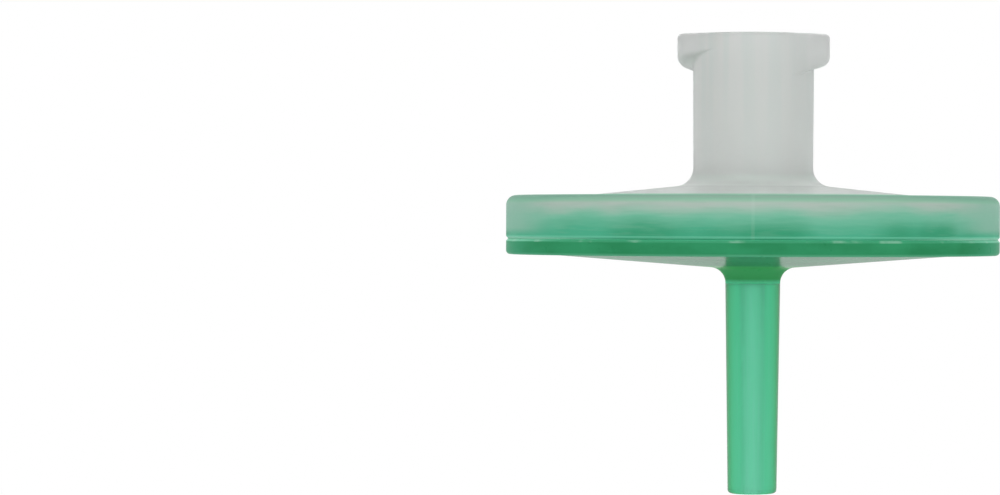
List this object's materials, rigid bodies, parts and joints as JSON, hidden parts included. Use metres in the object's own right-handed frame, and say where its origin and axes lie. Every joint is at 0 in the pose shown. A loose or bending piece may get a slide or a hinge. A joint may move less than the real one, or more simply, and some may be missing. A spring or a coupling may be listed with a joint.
{
  "type": "syringe filter",
  "caption": "Round in-line filter for a syringe: a female Luer lock inlet, a flat welded disc housing that holds a thin membrane, and a slim tube outlet on the same axis.",
  "frame": {"origin": "on the filter's axis at the mouth of its Luer lock, where the syringe holds it", "axes": "+Z along the axis towards the syringe, so the outlet tube points down along -Z; +X through one of the two thread lugs"},
  "size_m": [0.0252, 0.0252, 0.0235],
  "materials": {
    "natural_plastic": "satin",
    "green_plastic": "satin",
    "membrane": "matte"
  },
  "bodies": {
    "root": {"inlet_housing": "natural_plastic", "filter_membrane": "membrane", "outlet_housing": "green_plastic"}
  },
  "joints": []
}
